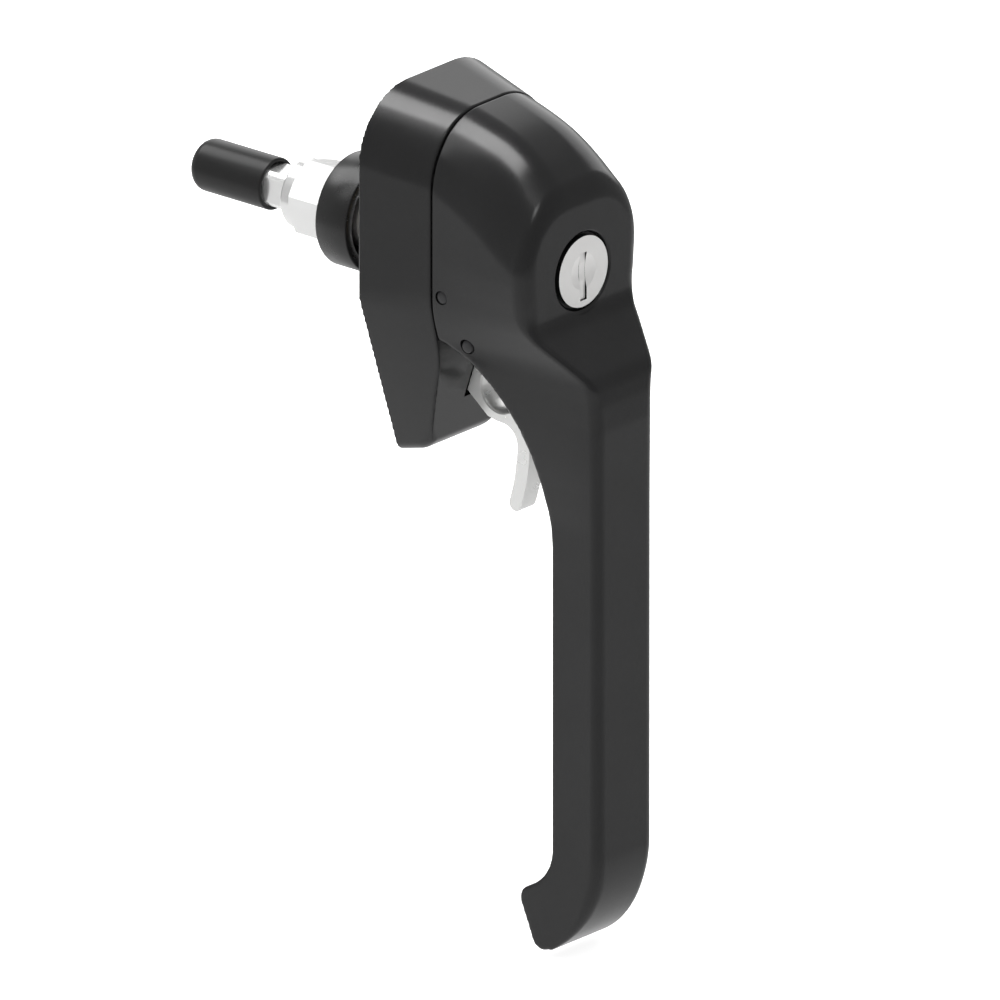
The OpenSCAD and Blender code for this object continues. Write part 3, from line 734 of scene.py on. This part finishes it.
for c in (
    block("c", -4.03, 4.03, 3.4, 23.4, -4.03, 4.03),
    block("c", 2.4, 6.05, 21.9, 33.4, -24.4, -9.4),
    cross_bar("c", [(-30, 1.56), (-18, 1.56), (-17.9, 1.75), (17.9, 1.75), (18, 1.56), (30, 1.56)], 19.9, -5.2),
    cross_bar("c", [(-30, 1.75), (30, 1.75)], PIV_F, PIV_Z),
    lathe("c", [(16.3, 1.55), (24.2, 1.55)], 15.6, 0, 40),
    lathe("c", [(29.7, 8.6), (42.4, 8.6), (42.75, 8.65), (43.1, 8.8), (43.32, 9.02), (43.45, 9.3), (43.52, 9.7), (45, 9.7)], 0, 1.2, 128),
    lathe("c", [(26.4, 10.6), (30.7, 10.6)], 0, 1.2, 96),
):
    boolean(handle, c)
set_normals(handle, handle_outer, 0.1)
place(handle, "handle_casting")

# ------------------------------------------------------------------ turned and bevelled small pieces
def smooth_by_angle(o, deg=30):
    me = o.data
    for p in me.polygons:
        p.use_smooth = True
    me.set_sharp_from_angle(angle=math.radians(deg))
    return o


CAP_R, Y0, Y1 = 5.83, 43.3, 64.0
cap = ring_solid(
    "end_cap_piece",
    [(-44.7, 3.9), (-44.7, 4.95), (-(Y0 + 0.3), 4.95), (-(Y0 + 0.1), 5.02), (-Y0, 5.2), (-Y0, CAP_R - 0.35)]
    + [(-(Y0 + 0.35 - 0.35 * math.cos(math.radians(a))), CAP_R - 0.35 + 0.35 * math.sin(math.radians(a))) for a in (20, 40, 60, 80, 90)]
    + [(-(Y1 - 2.8 + 2.8 * math.sin(math.radians(a))), CAP_R - 2.8 + 2.8 * math.cos(math.radians(a))) for a in range(0, 91, 6)]
    + [(-Y1, 1.5), (-Y1, 0.02), (-(Y1 - 2.4), 0.02), (-(Y1 - 2.4), 3.9)],
    n=128,
)
place(smooth_by_angle(cap, 50), "end_cap")

C0, C1, CR = 12.9, 21.6, 12.75
collar = ring_solid(
    "door_collar_piece",
    [(-(C0 + 0.35), CR), (-(C0 + 0.12), CR - 0.1), (-C0, CR - 0.35), (-C0, 10.65), (-(C0 + 0.25), 10.4), (-(C1 - 2.6), 10.4), (-(C1 - 2.6), 5.05), (-C1, 5.05), (-C1, CR - 0.35), (-(C1 - 0.12), CR - 0.1), (-(C1 - 0.35), CR)],
    n=128,
)
place(smooth_by_angle(collar, 50), "door_collar")
# the trigger lever: a thick plate with a round ring, its tail cut to a smooth curve
tail = lever_poly[6:]
for _ in range(3):
    cut = [tail[0]]
    for (f0, z0), (f1, z1) in zip(tail, tail[1:]):
        cut += [(0.75 * f0 + 0.25 * f1, 0.75 * z0 + 0.25 * z1), (0.25 * f0 + 0.75 * f1, 0.25 * z0 + 0.75 * z1)]
    tail = cut + [tail[-1]]
lever = united([
    prism_x("trigger_lever_piece", lever_poly[:6] + tail, 2.5),
    cross_bar("b", [(-2.5, 7.1), (-2.25, 7.35), (2.25, 7.35), (2.5, 7.1)], RING_F, RING_Z, 128),
    cross_bar("b", [(-2.5, 4.0), (2.5, 4.0)], PIV_F, PIV_Z, 64),
])
boolean(lever, cross_bar("c", [(-2.7, 5.6), (-2.45, 5.42), (-2.25, 5.28), (-2.0, 5.2), (2.0, 5.2), (2.25, 5.28), (2.45, 5.42), (2.7, 5.6)], RING_F, RING_Z, 128))
boolean(lever, cross_bar("c", [(-3, 1.78), (3, 1.78)], PIV_F, PIV_Z, 64))
place(smooth_by_angle(lever, 28), "trigger_lever")

for node, half, pf, pz in (("spindle_pin", 19.3, 19.9, -5.2), ("trigger_pivot_pin", 16.7, PIV_F, PIV_Z)):
    ends = [(0.0, 0.6), (0.05, 1.1), (0.16, 1.38), (0.3, 1.46), (1.25, 1.46), (1.3, 1.7)]
    pin = cross_bar(node + "_piece", [(-half + a, r) for a, r in ends] + [(half - a, r) for a, r in ends[::-1]], pf, pz)
    place(smooth_by_angle(pin, 45), node)

W0, W1 = 21.62, 23.58
washer = ring_solid("washer_piece", [(-W0, 5.2), (-W0, 9.2), (-(W0 + 0.06), 9.34), (-(W0 + 0.2), 9.4), (-(W1 - 0.2), 9.4), (-(W1 - 0.06), 9.34), (-W1, 9.2), (-W1, 5.2)], n=96)
place(smooth_by_angle(washer, 50), "washer")

N0, AF = 23.6, 16.0
nut = loft("nut_piece", [[(AF / 2 / math.cos(math.radians(30)) * math.cos(math.radians(-15 + 60 * i)), f, AF / 2 / math.cos(math.radians(30)) * math.sin(math.radians(-15 + 60 * i))) for i in range(6)] for f in (-N0, -(N0 + 9.4))])
boolean(nut, lathe("c", [(-(N0 + 9.4), 8.0), (-(N0 + 8.47), 9.6), (-(N0 + 0.93), 9.6), (-N0, 8.0)], n=192), "INTERSECT")
boolean(nut, lathe("c", [(-(N0 + 12.4), 7.1), (-(N0 + 12.2), 7.5), (-(N0 + 11.8), 7.75), (-(N0 + 9.0), 7.75)], n=96), "UNION")
boolean(nut, lathe("c", [(-60, 4.95), (0, 4.95)], n=96))
boolean(nut, lathe("c", [(-(N0 + 11.7), 6.9), (-(N0 + 9.4), 6.9)], n=96))
place(smooth_by_angle(nut, 25), "nyloc_nut")

# ------------------------------------------------------------------ floor, light
floor_bm = bmesh.new()
n, size, low = 24, 9.0, -0.1545
vs = [[floor_bm.verts.new((size * (2 * i / n - 1), size * (2 * j / n - 1), low)) for j in range(n + 1)] for i in range(n + 1)]
for i in range(n):
    for j in range(n):
        floor_bm.faces.new((vs[i][j], vs[i + 1][j], vs[i + 1][j + 1], vs[i][j + 1]))
floor = bm_object("floor", floor_bm)
fmat, fnt, fb = material("floor_pale")
fnt.links.new(colours(fnt, noise(fnt, 2.0, 3.0), (0.80, 0.80, 0.80), (0.84, 0.84, 0.84)), fb.inputs["Base Color"])
fb.inputs["Roughness"].default_value = 0.9
fb.inputs["Specular IOR Level"].default_value = 0.0
fb.inputs["Emission Color"].default_value = (1, 1, 1, 1)
fb.inputs["Emission Strength"].default_value = 0.85
floor.data.materials.append(fmat)
floor.visible_glossy = False

world = bpy.data.worlds.new("studio")
scene.world = world
world.use_nodes = True
wn = world.node_tree
bg = next(n for n in wn.nodes if n.type == "BACKGROUND")
out = next(n for n in wn.nodes if n.type == "OUTPUT_WORLD")
bg.inputs["Color"].default_value = (1, 1, 1, 1)
bg.inputs["Strength"].default_value = 0.30
sky = wn.nodes.new("ShaderNodeTexCoord")
split = wn.nodes.new("ShaderNodeSeparateXYZ")
wn.links.new(sky.outputs["Generated"], split.inputs["Vector"])
level = wn.nodes.new("ShaderNodeMapRange")
level.inputs["From Min"].default_value, level.inputs["From Max"].default_value = -0.345, -0.29
level.inputs["To Min"].default_value, level.inputs["To Max"].default_value = 0.745, 0.35
wn.links.new(split.outputs["Z"], level.inputs["Value"])
tilt = wn.nodes.new("ShaderNodeMath")
tilt.operation = "MULTIPLY_ADD"
tilt.inputs[1].default_value, tilt.inputs[2].default_value = 0.25, 1.0
wn.links.new(split.outputs["Y"], tilt.inputs[0])
both_ = wn.nodes.new("ShaderNodeMath")
both_.operation = "MULTIPLY"
wn.links.new(level.outputs["Result"], both_.inputs[0])
wn.links.new(tilt.outputs["Value"], both_.inputs[1])
wn.links.new(both_.outputs["Value"], bg.inputs["Strength"])
bg2 = wn.nodes.new("ShaderNodeBackground")
bg2.inputs["Color"].default_value = (1, 1, 1, 1)
bg2.inputs["Strength"].default_value = 1.0
lp = wn.nodes.new("ShaderNodeLightPath")
mix = wn.nodes.new("ShaderNodeMixShader")
wn.links.new(lp.outputs["Is Camera Ray"], mix.inputs["Fac"])
wn.links.new(bg.outputs["Background"], mix.inputs[1])
wn.links.new(bg2.outputs["Background"], mix.inputs[2])
wn.links.new(mix.outputs["Shader"], out.inputs["Surface"])


def softbox(name, direction, distance, width, height, radiance, target=Vector((0, -0.03, -0.03))):
    """A rectangular soft light of a given brightness, facing the object."""
    d = Vector(direction).normalized()
    data = bpy.data.lights.new(name, "AREA")
    data.shape = "RECTANGLE"
    data.size, data.size_y = width, height
    data.energy = radiance * width * height * math.pi
    o = bpy.data.objects.new(name, data)
    scene.collection.objects.link(o)
    o.location = target + d * distance
    o.rotation_euler = d.to_track_quat("Z", "Y").to_euler()
    o.visible_camera = False
    return o


softbox("top_light", (-0.04, 0.0, 1.0), 1.6, 1.0, 0.75, 7.2)
softbox("top_back_light", (-0.05, 0.59, 0.80), 1.6, 0.9, 1.15, 3.65)
softbox("left_fill_light", (-0.47, 0.32, 0.82), 1.6, 0.42, 1.3, 1.6)
softbox("back_light", (0.84, 0.37, 0.36), 2.2, 2.5, 1.6, 1.15)
softbox("key_light", (-0.28, -0.575, 0.775), 1.6, 0.4, 0.35, 4.0)

scene.view_settings.view_transform = "Standard"
scene.view_settings.look = "None"

# ------------------------------------------------------------------ final update
bpy.context.view_layer.update()
